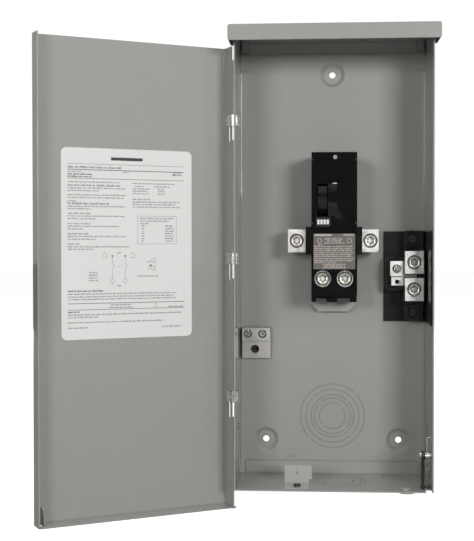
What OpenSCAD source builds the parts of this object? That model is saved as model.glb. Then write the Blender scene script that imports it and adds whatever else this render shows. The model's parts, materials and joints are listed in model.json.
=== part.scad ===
// Outdoor enclosure for a main circuit breaker, with its lift-up hinged door open.
// x runs to the right, y runs back into the wall and z runs up.
// The origin is midway between the two lower mounting holes, on the wall's surface.
// Heights (h) count from the box's bottom edge, depths (d) from the front of its back wall.

/* [Box] */
// Outside width of the box
box_w = 222; // [216:1:240]
// Depth of the box, from the rear of its back wall to the front edge of its sides
box_d = 99; // [97:1:110]
// Height from the bottom edge to the top of the rain hood
box_h = 518; // [516:1:530]
// Thickness of the painted sheet steel
sheet = 1.5; // [1.2:0.1:1.8]
// How far the dimples hold the back wall off the building's wall
standoff = 3.2; // [2.5:0.1:4]
// Inside radius of the bends
bend_r = 1.5; // [1:0.5:2]

/* [Mounting holes] */
// Diameter of the three mounting holes
mount_hole_dia = 7.3; // [6:0.1:8]
// Height of the two lower holes
low_hole_h = 42.6; // [40:0.1:46]
// Height of the upper hole
top_hole_h = 477.8; // [470:0.1:480]
// Distance between the two lower holes
low_hole_gap = 157.8; // [150:0.1:160]

/* [Rain hood] */
// How far the hood's lip stands in front of the box
hood_reach = 16.4; // [15:0.1:20]
// Height of the lip's lower edge
hood_lip_h = 500.6; // [500:0.1:505]
// Width of the hood over its side ears
hood_w = 233.6; // [233:0.1:240]

/* [Door] */
// Inside width of the door between its side flanges
door_inner_w = 224.3; // [224:0.1:226]
// Height of the door's lower edge while it hangs open
door_low_h = -24.4; // [-26:0.1:-23]
// Height of the door's upper edge while it hangs open
door_top_h = 500.2; // [498:0.1:500.2]
// Angle by which the door stands open
door_open = 150; // [120:1:160]
// How far the closed door lifts to tuck in behind the hood's lip
door_lift = 15; // [12:1:15]
// Heights of the three hinges
hinge_hs = [102.8, 260.1, 416.6]; // [90:0.1:430]

/* [Breaker] */
// Left and right side of the breaker's case
breaker_x = [-24.6, 27]; // [-30:0.1:30]
// Lower and upper end of the breaker's case
breaker_h = [210, 380.4]; // [200:0.1:390]
// Angle by which the handle leans up in its ON position
handle_lean = 22; // [18:1:24]

/* [Terminals] */
// Radius of the large wire holes, for conductors up to 250 kcmil
wire_r = 7.95; // [7.5:0.05:8]
// Radius of the large socket-head clamp screws
clamp_r = 7.85; // [7.4:0.05:7.85]

/* [Hidden] */
$fn = 48;

run_gap = 0.05;                              // radial clearance of a shaft in its bore
seat_gap = 0.05;                             // gap between two sheets laid together
in_y = -(standoff + sheet);                  // front face of the back wall
front_d = box_d - sheet;                     // depth of the front edge of the sides
in_w = box_w - 2 * sheet;                    // width between the side walls
shell_h = box_h - sheet - seat_gap;          // height of the side walls
wall_d = in_y;                               // depth of the building's wall
hinge_x = -113.3;                            // hinge axis, just outside the left wall
hinge_d = 77;
knuckle_r = 2.2;
pin_r = 1.2;
pole_x = [-11.8, 13.5];                      // centre of each breaker pole
pole_half = 9.8;                             // half width of a pole's chamber
base_front_d = 45;                           // where the breaker's base and cover meet
face_d = 73.5;                               // front face of the breaker's cover

// Height above the bottom edge, as a z of this frame
function up(h) = h - low_hole_h;
// Depth in front of the back wall, as a y of this frame
function out(d) = in_y - d;

// Box between two x values, two depths and two heights
module slab(x, d, h) {
    translate([x[0], out(d[1]), up(h[0])]) cube([x[1] - x[0], d[1] - d[0], h[1] - h[0]]);
}

// Cylinders along each axis; r2 turns rod_d into a cone
module rod_x(x, d, h, r) {
    translate([x[0], out(d), up(h)]) rotate([0, 90, 0]) cylinder(h = x[1] - x[0], r = r);
}
module rod_d(x, d, h, r, r2 = -1) {
    translate([x, out(d[0]), up(h)]) rotate([90, 0, 0])
        cylinder(h = d[1] - d[0], r1 = r, r2 = r2 < 0 ? r : r2);
}
module rod_h(x, d, h, r) {
    translate([x, out(d), up(h[0])]) cylinder(h = h[1] - h[0], r = r);
}

// Outline of a rounded rectangle between two corners
module rounded(x, h, r) {
    translate([x[0] + r, h[0]]) square([x[1] - x[0] - 2 * r, h[1] - h[0]]);
    translate([x[0], h[0] + r]) square([x[1] - x[0], h[1] - h[0] - 2 * r]);
    for (cx = [x[0] + r, x[1] - r], ch = [h[0] + r, h[1] - r]) translate([cx, ch]) circle(r);
}

// Rounded plate that faces the front
module front_plate(x, d, h, r) {
    translate([0, out(d[0]), 0]) rotate([90, 0, 0])
        linear_extrude(d[1] - d[0]) rounded(x, [up(h[0]), up(h[1])], r);
}

// Plate cut to an outline of [x, h] points, facing the front
module front_profile(d, points) {
    translate([0, out(d[0]), 0]) rotate([90, 0, 0])
        linear_extrude(d[1] - d[0]) polygon([for (p = points) [p[0], up(p[1])]]);
}

// Plate cut to an outline of [d, h] points, facing the side
module side_profile(x, points) {
    translate([x[0], 0, 0]) rotate([90, 0, 90])
        linear_extrude(x[1] - x[0]) polygon([for (p = points) [out(p[0]), up(p[1])]]);
}

// Plan outline whose two corners at the far side (towards +y) are rounded
module far_rounded(x, y, r) {
    translate([x[0], y[0]]) square([x[1] - x[0], y[1] - y[0] - r]);
    translate([x[0] + r, y[0]]) square([x[1] - x[0] - 2 * r, y[1] - y[0]]);
    for (cx = [x[0] + r, x[1] - r]) translate([cx, y[1] - r]) circle(r);
}

// Nested knock-out rings, sheared part way through a sheet that fills z = 0 to sheet
module knockout_cuts(radii, depth = 0.65) {
    tie = 4;
    for (i = [0 : len(radii) - 1]) difference() {
        union() {
            translate([0, 0, sheet - depth]) ring(radii[i] + 0.7, radii[i] - 0.5, depth + 1);
            translate([0, 0, -1]) ring(radii[i] + 1.5, radii[i] + 0.3, depth + 1);
        }
        rotate(45 + 90 * (i % 2)) translate([-radii[i] - 2, -tie / 2, -2])
            cube([2 * radii[i] + 4, tie, sheet + 4]);
    }
}
module ring(r_out, r_in, h) {
    difference() {
        cylinder(h = h, r = r_out);
        translate([0, 0, -1]) cylinder(h = h + 2, r = r_in);
    }
}

// Turns a child from the closed position of the door to its open one
module swung_open() {
    translate([hinge_x, out(hinge_d), 0]) rotate([0, 0, -door_open])
        translate([-hinge_x, -out(hinge_d), 0]) children();
}

// ---------------------------------------------------------------- enclosure

dimple_spots = [[0, top_hole_h], [-low_hole_gap / 2, low_hole_h], [low_hole_gap / 2, low_hole_h]];
trade_rings = [38, 31.6, 25.4, 21.4, 15.4];  // radii of the nested knock-outs
side_rings = [31, 25.4, 17.4];
window_half = 6.7;

module enclosure_shell() color([0.52, 0.54, 0.52]) difference() {
    union() {
        translate([0, 0, up(0)]) linear_extrude(shell_h) difference() {
            far_rounded([-box_w / 2, box_w / 2], [-standoff - box_d, -standoff], bend_r + sheet);
            far_rounded([-in_w / 2, in_w / 2], [-standoff - box_d - 1, in_y], bend_r);
        }
        for (p = dimple_spots) rod_d(p[0], [wall_d, 0.2 - sheet], p[1], 11.4, 15.6);
        for (x = [-49.2, 49.7]) slab([x - 5, x + 5], [-0.2, 0.7], [17.4, 22.2]);
    }
    for (p = dimple_spots) {
        rod_d(p[0], [wall_d + sheet, 0.01], p[1], 10.4, 14.6);
        rod_d(p[0], [wall_d - 1, 0], p[1], mount_hole_dia / 2);
    }
    translate([0.3, out(-sheet), up(71.2)]) rotate([90, 0, 0]) knockout_cuts(trade_rings);
    translate([box_w / 2, out(42.6), up(36.6)]) rotate([0, -90, 0]) knockout_cuts(side_rings);
    translate([-box_w / 2, out(42.6), up(36.6)]) rotate([0, 90, 0]) knockout_cuts(side_rings);
    for (h = hinge_hs) {
        slab([-box_w / 2 - 1, -in_w / 2 + 1], [73, 84.5], [h - window_half, h + window_half]);
    }
    rod_x([in_w / 2 - 1, box_w / 2 + 1], stud_d, stud_h, stud_r);
    // Lancing marks across the rear corners
    for (side = [-1, 1]) {
        translate([side * (in_w / 2 - 5.2), 0, 0]) slab([-5.2, 5.2], [-0.9, 2.5], [481, 483.6]);
    }
}

module bottom_end_wall() color([0.5, 0.52, 0.5]) difference() {
    union() {
        slab([-in_w / 2 + seat_gap, in_w / 2 - seat_gap], [bend_r + 0.1, front_d], [0, sheet]);
        slab([-103, 103], [seat_gap, seat_gap + sheet], [0, 16.8]);
        slab([-103, 103], [seat_gap, bend_r + 1], [0, sheet]);
        rod_h(82, 84, [-2.4, 0.5], 9);
    }
    // Corner cut that lets the door's catch rise into the box
    slab([102.7, 112], [82.5, front_d + 1], [-1, sheet + 1]);
    translate([7.5, out(43), up(0)]) knockout_cuts([31, 25.4, 17.4]);
    translate([69.9, out(18), up(0)]) knockout_cuts([11.1]);
    rod_h(82, 84, [-0.9, sheet + 1], 7.8);
}

lip_y = -standoff - box_d - hood_reach;
ear_reach = 38;                              // how far the hood's ears run back from its lip
hub_hole_r = 31;
hub_screw_r = 2.1;
hub_screw_spots = [for (x = [-44, 44], d = [14, 82]) [x, d]];

module rain_hood() color([0.55, 0.57, 0.55]) {
    difference() {
        union() {
            hood_lip();
            slab([-box_w / 2, box_w / 2], [-sheet, front_d + 1], [box_h - sheet, box_h]);
        }
        rod_h(0, 48, [box_h - 3, box_h + 1], hub_hole_r);
        for (p = hub_screw_spots) rod_h(p[0], p[1], [box_h - 3, box_h + 1], hub_screw_r);
    }
    // Flange behind the opening, lapped inside the box
    slab([-104, 104], [seat_gap, seat_gap + sheet], [503, box_h - 1]);
    for (side = [-1, 1]) {
        translate([side * 104, 0, 0]) slab([-3.5, 3.5], [seat_gap + bend_r, 5.5], [504.2, box_h - 1]);
    }
}

// Lip round the front with an ear at each side; a flange behind each ear reaches in to the side wall
module hood_lip() difference() {
    translate([0, lip_y, 0]) rotate([-90, 0, 0]) mirror([0, 1, 0])
        linear_extrude(ear_reach)
            rounded([-hood_w / 2, hood_w / 2], [up(hood_lip_h), up(box_h)], 2.4);
    for (w = [[hood_w / 2 - sheet, ear_reach - 2 * sheet], [box_w / 2 + seat_gap, ear_reach]])
        translate([-w[0], lip_y + sheet, up(hood_lip_h - 1)])
            cube([2 * w[0], w[1], box_h - hood_lip_h + 1 - sheet]);
}

module hub_cover_plate() color([0.55, 0.57, 0.55]) difference() {
    translate([0, 0, up(box_h)]) linear_extrude(sheet)
        rounded([-54, 54], [out(92), out(4)], 6);
    for (p = hub_screw_spots) rod_h(p[0], p[1], [box_h - 1, box_h + 3], hub_screw_r + 0.3);
}

module hub_cover_screws() color("silver") for (p = hub_screw_spots) difference() {
    union() {
        rod_h(p[0], p[1], [box_h - 2.2, box_h + sheet + 0.5], hub_screw_r);
        rod_h(p[0], p[1], [box_h + sheet, box_h + sheet + 2.2], 4.4);
    }
    slab([p[0] - 5, p[0] + 5], [p[1] - 0.5, p[1] + 0.5], [box_h + sheet + 1.2, box_h + 5]);
}

module front_bracket() color([0.58, 0.6, 0.58]) difference() {
    union() {
        slab([-55, -27.6], [67.9, 69.4], [sheet, 24.4]);
        slab([-55, -27.6], [67.9, 94], [sheet, 2 * sheet]);
        front_profile([66.4, 69.4], [[-28, 8.5], [-24, 8.5], [-24, 22.5], [-25.5, 24.4], [-28, 24.4]]);
    }
    rod_d(-41, [60, 72], 16, 1.7);
    rod_h(-40.6, 80, [0, 5], 2.2);
}

module front_bracket_screw() color("dimgray") difference() {
    union() {
        rod_h(-40.6, 80, [sheet, 3.4], 2.2);
        rod_h(-40.6, 80, [2 * sheet, 2 * sheet + 2], 3.9);
    }
    slab([-45, -36], [79.5, 80.5], [4, 6]);
}

// ---------------------------------------------------------------- door latch

stud_d = 88;                                 // latch pivot, on the right side wall
stud_h = 40.2;
stud_r = 2.5;
lever_x = [97.8, 101.4];
catch_pin_h = 5.6;
tab_x = [104.2, 105.7];

module latch_stud() color("silver") {
    rod_x([lever_x[0] - 0.1, box_w / 2], stud_d, stud_h, stud_r);
    rod_x([lever_x[0] - 1.6, lever_x[0] - 0.1], stud_d, stud_h, 4.2);
    rod_x([109.2, in_w / 2 - 0.01], stud_d, stud_h, 3.6);
}

module latch_lever() color([0.2, 0.2, 0.2]) {
    difference() {
        union() {
            rod_x(lever_x, stud_d, stud_h, 5.2);
            side_profile(lever_x, [[stud_d - 3.6, 4.6], [stud_d - 2, 2.9], [stud_d + 2, 2.9],
                [stud_d + 3.6, 4.6], [stud_d + 5, stud_h], [stud_d - 5, stud_h]]);
        }
        rod_x([lever_x[0] - 1, lever_x[1] + 1], stud_d, stud_h, stud_r + run_gap);
    }
    rod_x([lever_x[0] - 0.8, 108.2], stud_d, catch_pin_h, 1.5);
}

// Torsion spring: closed coils round the stud, one leg up the wall and one down
module latch_spring() color("silver") {
    coil_wire_r = 0.65;
    coil_r = 3.7;
    coil_x = 102.4;
    pitch = 1.15;
    leg_r = 0.9;
    leg_d = stud_d - coil_r + 0.05;
    translate([coil_x, out(stud_d), up(stud_h)]) rotate([0, 90, 0]) rotate_extrude()
        for (i = [0 : 4]) translate([coil_r, pitch * i]) circle(coil_wire_r);
    rod_h(coil_x + 2 * pitch, leg_d, [stud_h, 60.4], leg_r);
    rod_x([coil_x + 2 * pitch - 0.8, 108.2], leg_d, 59.9, leg_r - 0.3);
    rod_h(coil_x + 4 * pitch, leg_d, [24, stud_h], leg_r - 0.3);
}

// ---------------------------------------------------------------- hinges

module hinge_leaves() color("silver") for (h = hinge_hs) difference() {
    union() {
        slab([hinge_x, -108.1], [hinge_d - knuckle_r, hinge_d - knuckle_r + 1.2], [h - 6.1, h + 6.1]);
        translate([-in_w / 2 + seat_gap, 0, 0]) rotate([90, 0, 90])
            linear_extrude(1.3) rounded([out(hinge_d - 1), out(57)], [up(h - 6.1), up(h + 6.1)], 3);
        rod_h(hinge_x, hinge_d, [h - 6.1, h + 6.1], knuckle_r);
    }
    rod_h(hinge_x, hinge_d, [h - 7, h + 7], pin_r);
    rod_h(hinge_x, hinge_d, [h - 2.5, h + 2.5], knuckle_r + 0.2);
}

module hinge_pins() color("lightgray") for (h = hinge_hs) {
    rod_h(hinge_x, hinge_d, [h - 6.5, h + 6.5], pin_r);
}

strap_x = [-112.3, -111.2];

module hinge_straps() color("silver") swung_open() for (h = hinge_hs) difference() {
    union() {
        rod_h(hinge_x, hinge_d, [h - 2.3, h + 2.3], knuckle_r);
        slab(strap_x, [hinge_d, 81], [h - 2.3, h + 2.3]);
        slab(strap_x, [79.8, 90], [h - 6.3, h + 6.3]);
        slab([-115.3, strap_x[0]], [84, 87.6], [h - 5.6, h + 5.6]);
        slab([-115.3, -114.2], [81.6, 90], [h - 6.3, h + 6.3]);
    }
    rod_h(hinge_x, hinge_d, [h - 3, h + 3], pin_r + run_gap);
}

// ---------------------------------------------------------------- door

door_left = -112.5;                          // inside faces of the side flanges, door closed
door_right = door_left + door_inner_w;
panel_d = front_d + 1;                       // inside face of the closed door's panel
hinge_flange_d = hinge_d + knuckle_r + 0.2;
lap_d = hinge_d - 1.9;                       // rear edge of the flange, beside the box's left wall
lap_top_h = 484;
free_flange_d = panel_d - 18;
foot_flange_d = panel_d - 20.4;

module door_panel() color([0.52, 0.54, 0.52]) swung_open() difference() {
    union() {
        difference() {
            translate([0, 0, up(door_low_h)]) linear_extrude(door_top_h - door_low_h)
                mirror([0, 1, 0]) difference() {
                    far_rounded([door_left - sheet, door_right + sheet],
                        [-out(hinge_flange_d), -out(panel_d + sheet)], 2.2);
                    far_rounded([door_left, door_right],
                        [-out(hinge_flange_d) - 1, -out(panel_d)], 0.8);
                }
            slab([door_right - 1, door_right + 3], [hinge_flange_d - 1, free_flange_d],
                [door_low_h - 1, door_top_h + 1]);
        }
        slab([door_left - sheet, door_left], [lap_d, hinge_flange_d + 1], [door_low_h, lap_top_h]);
        slab([door_left - 0.5, door_right + 0.5], [foot_flange_d, panel_d + 0.5],
            [door_low_h, door_low_h + sheet]);
        slab([door_left - 5.5, door_left], [foot_flange_d, foot_flange_d + 8],
            [door_low_h, door_low_h + sheet]);
        // Catch that rises through the box's corner cut
        side_profile(tab_x, [[86.8, door_low_h], [86.8, 5 - door_lift], [92.5, 9.5 - door_lift],
            [95.5, 9.5 - door_lift], [95.5, door_low_h]]);
    }
    // Room for the hinges and for their travel as the door lifts
    for (h = hinge_hs) {
        slab([-115, -112], [83.7, 87.9], [h - 24, h + 5.9]);
        slab([-116, -112], [lap_d - 1, hinge_flange_d], [h - door_lift - 7.5, h + 7]);
    }
    // Notch in the catch that the latch lever's pin drops into
    slab([tab_x[0] - 1, tab_x[1] + 1], [80, stud_d + 1.8],
        [catch_pin_h - 1.8 - door_lift, catch_pin_h + 1.9 - door_lift]);
    // Opening left where the catch was bent up
    slab([tab_x[1], tab_x[1] + 4.4], [86.8, 95.5], [door_low_h - 1, door_low_h + sheet + 1]);
}

label_u = [41, 194.4];                       // label's place, measured from the hinge bend
label_h = [172.6, 381];

module door_label() color("whitesmoke") swung_open() {
    front_plate([door_left + label_u[0], door_left + label_u[1]], [panel_d - 0.25, panel_d - 0.02],
        label_h, 6);
}

// ---------------------------------------------------------------- clamp screws and lugs

// Socket-head clamp screw whose tip is at depth d[0] and whose head is at d[1]
module socket_screw(x, d, h) color([0.8, 0.79, 0.76]) difference() {
    union() {
        rod_d(x, [d[0], d[1] - 1], h, clamp_r);
        rod_d(x, [d[1] - 1, d[1]], h, clamp_r, clamp_r - 1.3);
    }
    translate([x, out(d[1] - 5), up(h)]) rotate([90, 0, 0]) cylinder(h = 6, r = 4.6, $fn = 6);
}

// Slotted clamp screw
module slotted_screw(x, d, h, r, turn = 0) color([0.78, 0.78, 0.76]) difference() {
    union() {
        rod_d(x, [d[0], d[1] - 0.6], h, r);
        rod_d(x, [d[1] - 0.6, d[1]], h, r, r - 0.6);
    }
    translate([x, out(d[1] - 1.4), up(h)]) rotate([90, 0, 0]) rotate(turn)
        translate([-r - 1, -0.65, 0]) cube([2 * r + 2, 1.3, 3]);
}

mouth_gap = 0.55;                            // step round a clamp screw at the lug's face
mouth_depth = 1.4;

// Lug block with a wire hole along its height and a clamp screw's hole in its front
module box_lug(x, d, h) color([0.84, 0.84, 0.82]) difference() {
    slab(x, d, h);
    rod_h((x[0] + x[1]) / 2, d[0] + 9.6, [h[0] - 1, h[1] + 1], wire_r);
    rod_d((x[0] + x[1]) / 2, [d[0] + 9.6, d[1] + 1], (h[0] + h[1]) / 2, clamp_r + run_gap);
    rod_d((x[0] + x[1]) / 2, [d[1] - mouth_depth, d[1] + 1], (h[0] + h[1]) / 2, clamp_r + mouth_gap);
}

module box_lug_screw(x, d, h) {
    socket_screw((x[0] + x[1]) / 2, [d[0] + 17.7, d[1] - 0.5], (h[0] + h[1]) / 2);
}

// ---------------------------------------------------------------- ground lug

ground_x = [-107, -73.5];
ground_screw_x = [-100.2, -82.9];
ground_screw_h = 169.8;

module ground_lug() color([0.78, 0.78, 0.76]) difference() {
    union() {
        slab(ground_x, [0, 13], [161.6, 177]);
        slab(ground_x, [0, 8], [140.6, 162]);
    }
    for (x = ground_screw_x) {
        rod_h(x, 5.2, [163.5, 178], 3.6);
        rod_d(x, [5, 14], ground_screw_h, 4.4 + run_gap);
        rod_d(x, [13 - mouth_depth, 14], ground_screw_h, 4.4 + mouth_gap);
    }
    rod_d(-92, [1.8, 9], 151.4, 5);
    rod_d(-92, [-1, 3], 151.4, 2.2);
}

module ground_mount_screw() color([0.15, 0.15, 0.15]) difference() {
    union() {
        rod_d(-92, [0, 2], 151.4, 2.2);
        rod_d(-92, [1.8, 3.6], 151.4, 4.2);
    }
    slab([-96, -88], [2.8, 5], [150.9, 151.9]);
}

module ground_screw_left() slotted_screw(ground_screw_x[0], [8.9, 13.6], ground_screw_h, 4.4, 20);
module ground_screw_right() slotted_screw(ground_screw_x[1], [8.9, 13.6], ground_screw_h, 4.4, 80);

// ---------------------------------------------------------------- neutral assembly

insulator_t = 1.2;
insulator_h = [184.8, 291.6];
neutral_lug_x = [83, 104.5];
neutral_lug_d = [19.5, 44.5];
upper_lug_h = [242.2, 268.4];
lower_lug_h = [210.8, 237.1];
small_lug_x = [66.8, 81.6];
base_screw_spots = [[93.5, 282.4], [93.5, 196.2]];

// Black sheet folded against the back wall and the right side wall
module neutral_insulator() color([0.06, 0.06, 0.06]) difference() {
    union() {
        slab([60.7, in_w / 2 - 2], [0, insulator_t], insulator_h);
        slab([in_w / 2 - seat_gap - insulator_t, in_w / 2 - seat_gap], [1.6, 88], insulator_h);
        slab([106.8, in_w / 2 - 0.6], [0.6, 2.6], insulator_h);
    }
    for (p = base_screw_spots) rod_d(p[0], [-1, 3], p[1], 2.6);
}

module neutral_base() color([0.07, 0.07, 0.07]) difference() {
    union() {
        slab([86, 106.4], [2.7, 15.4], [186, 292]);
        slab([70, 86.5], [insulator_t, 13.9], [223.4, 260.6]);
        for (p = base_screw_spots) rod_d(p[0], [insulator_t, 21], p[1], 10);
        front_plate([62, 82.8], [insulator_t, 20], [221.6, 262], 5);
        slab([84, 106], [insulator_t, 15.4], [188, 290]);
        slab([105, 106.6], [insulator_t, 36], [208, 270]);
    }
    // Well for the bar, the recess inside the raised rim and the two screw recesses
    slab([65, 85], [13.9, 21], [225.4, 258.8]);
    for (p = base_screw_spots) {
        rod_d(p[0], [17, 22], p[1], 5.6);
        rod_d(p[0], [0, 22], p[1], 2.3);
    }
}

module neutral_base_screws() color([0.2, 0.2, 0.2]) for (p = base_screw_spots) difference() {
    union() {
        rod_d(p[0], [0, 17.2], p[1], 2.2);
        rod_d(p[0], [17, 19.6], p[1], 4.4);
    }
    slab([p[0] - 5, p[0] + 5], [18.6, 22], [p[1] - 0.6, p[1] + 0.6]);
}

module neutral_bar() color([0.8, 0.78, 0.72]) difference() {
    union() {
        slab([84.8, 98.6], [15.4, 19.5], [211, 268]);
        slab([68.5, 85], [15.4, 19.5], [228.2, 256.4]);
        slab([68.5, 82.3], [19, 27], [228.2, 238]);
    }
    rod_d(75.2, [15, 28], 232.4, 2.6);
    slab([67, 82.4], [18.4, 20], [238, 257]);
}

module neutral_lug_upper() box_lug(neutral_lug_x, neutral_lug_d, upper_lug_h);
module neutral_lug_lower() box_lug(neutral_lug_x, neutral_lug_d, lower_lug_h);
module neutral_screw_upper() box_lug_screw(neutral_lug_x, neutral_lug_d, upper_lug_h);
module neutral_screw_lower() box_lug_screw(neutral_lug_x, neutral_lug_d, lower_lug_h);

module neutral_small_lug() color([0.84, 0.84, 0.82]) difference() {
    slab(small_lug_x, [18.4, 34], [239.2, 256.6]);
    rod_h(74.2, 24.4, [238, 258], 4.2);
    rod_d(74.2, [24, 35], 247.8, 4.6 + run_gap);
    rod_d(74.2, [34 - mouth_depth, 35], 247.8, 4.6 + mouth_gap);
}
module neutral_small_screw() slotted_screw(74.2, [28.8, 34.6], 247.8, 4.6, 65);

// ---------------------------------------------------------------- breaker case

bracket_d = [8, 9.5];
base_d = [bracket_d[1], base_front_d];
bx = breaker_x;
bh = breaker_h;
chamber_h = [222, 377];
handle_h = 327;
handle_d = 53;
handle_x = [-17.4, -6.6];
barrel_r = 19;
window_x = [-18, -6];
window_h = [308, 344.4];
crossbar_h = 322;
crossbar_d = 24;
load_h = 237.2;
load_wire_d = 43.6;
shield_h = [347, 377.4];
shield_screw_h = 374.4;
rating_x = [-19.6, -3];
rating_h = [295.9, 306.9];
foot_gaps = [[-19.5, -7], [4.8, 20]];          // gaps between the feet at the case's lower end
foot_h = 214.4;
arm_h = [265, 296.6];
cover_screw_spots = [for (x = [bx[0] + 1.5, bx[1] - 1.5], h = [300, 372]) [x, h]];
line_strap_d = [14.4, 17.4];
line_strap_h = [272, 293];

module breaker_bracket() color([0.62, 0.64, 0.62]) difference() {
    union() {
        front_profile(bracket_d, [[-16.4, 196.6], [19, 196.6], [bx[1] + 0.8, 206.2], [bx[1] + 0.8, 360],
            [bx[0] - 0.8, 360], [bx[0] - 0.8, 206.2]]);
        for (x = [-18, 20.5]) slab([x - 0.75, x + 0.75], [0, 8.5], [206, 356]);
        for (x = [-18, 20.5]) slab([x - 6, x + 6], [0, sheet], [206, 356]);
    }
    for (x = pole_x) rod_d(x, [6, 11], 350, 1.9);
}

module breaker_screws() color("silver") for (x = pole_x) difference() {
    union() {
        rod_d(x, [4.5, 12], 350, 1.9);
        rod_d(x, [11.6, 13.8], 350, 3.6);
    }
    slab([x - 4, x + 4], [12.8, 15], [349.5, 350.5]);
}

// One chamber for each pole, open to the front
module pole_chambers(d, h) {
    for (x = pole_x) slab([x - pole_half, x + pole_half], d, h);
}

// Wire ways up into the load lugs
module load_wire_ways() for (x = pole_x) rod_h(x, load_wire_d, [bh[0] - 1, chamber_h[0] + 1], 9);

module breaker_base() color([0.05, 0.05, 0.05]) difference() {
    union() {
        slab(bx, base_d, bh);
        slab([bx[0] - 6.7, bx[0] + 1], [9.7, 41.5], arm_h);
        slab([bx[1] - 1, bx[1] + 6.7], [9.7, 41.5], arm_h);
    }
    pole_chambers([11.6, base_front_d + 1], chamber_h);
    load_wire_ways();
    for (x = foot_gaps) slab(x, [9, base_front_d + 1], [bh[0] - 1, foot_h]);
    for (x = pole_x) rod_d(x, [9, 12], 350, 2.2);
    // Slots for the line straps in both sides
    slab([bx[0] - 8, pole_x[0]], [line_strap_d[0] - 0.1, line_strap_d[1] + 0.1],
        [line_strap_h[0] - 0.1, line_strap_h[1] + 0.1]);
    slab([pole_x[1], bx[1] + 8], [line_strap_d[0] - 0.1, line_strap_d[1] + 0.1],
        [line_strap_h[0] - 0.1, line_strap_h[1] + 0.1]);
    // Bearing slots that the crossbar drops into from the front
    rod_x([bx[0] + 1, bx[1] - 1], crossbar_d, crossbar_h, 4 + run_gap);
    slab([bx[0] + 1, bx[1] - 1], [crossbar_d, base_front_d + 1],
        [crossbar_h - 4 - run_gap, crossbar_h + 4 + run_gap]);
    for (p = cover_screw_spots) rod_d(p[0], [30, 46], p[1], 0.9);
}

well_r = 9.7;
trunnion_r = 2.5;

module breaker_cover() color([0.06, 0.06, 0.065]) difference() {
    union() {
        difference() {
            cover_outside();
            pole_chambers([base_front_d - 1, 69], chamber_h);
            slab([-2.5, 4.2], [base_front_d - 1, 62], [226, 300]);
        }
        // Cheeks that carry the handle's trunnions, and the rib that holds the crossbar down
        slab([-21.7, handle_x[0] - 0.4], [46, 69.5], [320, 334]);
        slab([handle_x[1] + 0.4, -1.9], [46, 69.5], [320, 334]);
        slab([-1.8, 3.5], [crossbar_d + 4.15, 46], [crossbar_h - 3.8, crossbar_h + 3.8]);
    }
    slab([bx[0] - 1, bx[1] + 1], [58, face_d + 1], [bh[0] - 1, bh[0] + 7.5]);
    for (x = foot_gaps) slab(x, [base_front_d - 1, 59], [bh[0] - 1, foot_h]);
    slab([bx[0] - 1, bx[1] + 1], [71, face_d + 1], [288.6, 295.4]);
    load_wire_ways();
    slab(window_x, [60, face_d + 1], window_h);
    for (x = pole_x) rod_d(x, [60, face_d + 1], load_h, well_r);
    rod_d(9.9, [72, face_d + 1], 341, 1.3);
    // Seat for the rating plate, and the shield's screw hole
    slab(rating_x, [face_d - 0.4, face_d + 1], rating_h);
    rod_d(2.2, [66, 72], shield_screw_h, 1.6);
    rod_x([-21.2, -3.2], handle_d, handle_h, trunnion_r + run_gap);
    slab([-21.2, -3.2], [base_front_d - 1, handle_d],
        [handle_h - trunnion_r - run_gap, handle_h + trunnion_r + run_gap]);
    for (p = cover_screw_spots) {
        rod_d(p[0], [44, 80], p[1], 1);
        rod_d(p[0], [70.8, 80], p[1], 1.6);
    }
}

// Outside of the cover: a raised front face and a curved guard beside the handle
module cover_outside() {
    slab(bx, [base_front_d, 71.5], bh);
    front_plate([bx[0] + 2.1, bx[1] - 2.1], [71, face_d], [bh[0] + 7.5, shield_h[0] - 1], 0.6);
    intersection() {
        rod_x([-5.6, 4.2], 21, 327.5, 55.5);
        slab([-5.6, 4.2], [69.5, 78], [309.5, 344.2]);
    }
}

module cover_screws() color([0.3, 0.3, 0.3]) for (p = cover_screw_spots) {
    rod_d(p[0], [31, 71], p[1], 0.9);
    rod_d(p[0], [70.8, 71.4], p[1], 1.3);
}

module terminal_shield() color([0.07, 0.07, 0.075]) difference() {
    union() {
        front_plate([bx[0] + 2.1, bx[1] - 2.1], [71.5, 73.9], shield_h, 1);
        slab([bx[0] + 2.1, bx[1] - 2.1], [73, 75], [shield_h[0], shield_h[0] + 1.6]);
    }
    rod_d(2.2, [71, 75], shield_screw_h, 1.8);
}

module shield_screw() color("silver") difference() {
    union() {
        rod_d(2.2, [66.5, 74], shield_screw_h, 1.6);
        rod_d(2.2, [73.9, 75.6], shield_screw_h, 2.9, 2.1);
    }
    slab([-2, 6], [74.9, 77], [shield_screw_h - 0.4, shield_screw_h + 0.4]);
}

// Bent wire clip at the shield's lower edge
module shield_clip() color("silver") {
    slab([-0.8, 4.6], [face_d, face_d + 0.8], [344.4, 345.6]);
    slab([-0.8, 0.4], [face_d, face_d + 2.4], [344.4, 345.6]);
}

module rating_plate() color([0.1, 0.1, 0.1]) {
    front_plate([rating_x[0] + 0.1, rating_x[1] - 0.1], [face_d - 0.4, face_d + 0.1],
        [rating_h[0] + 0.1, rating_h[1] - 0.1], 0.5);
}

module info_label() color([0.5, 0.46, 0.44]) {
    front_plate([-22.3, 24.7], [face_d, face_d + 0.2], [248, 288.2], 0.6);
}

// ---------------------------------------------------------------- breaker mechanism

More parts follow.
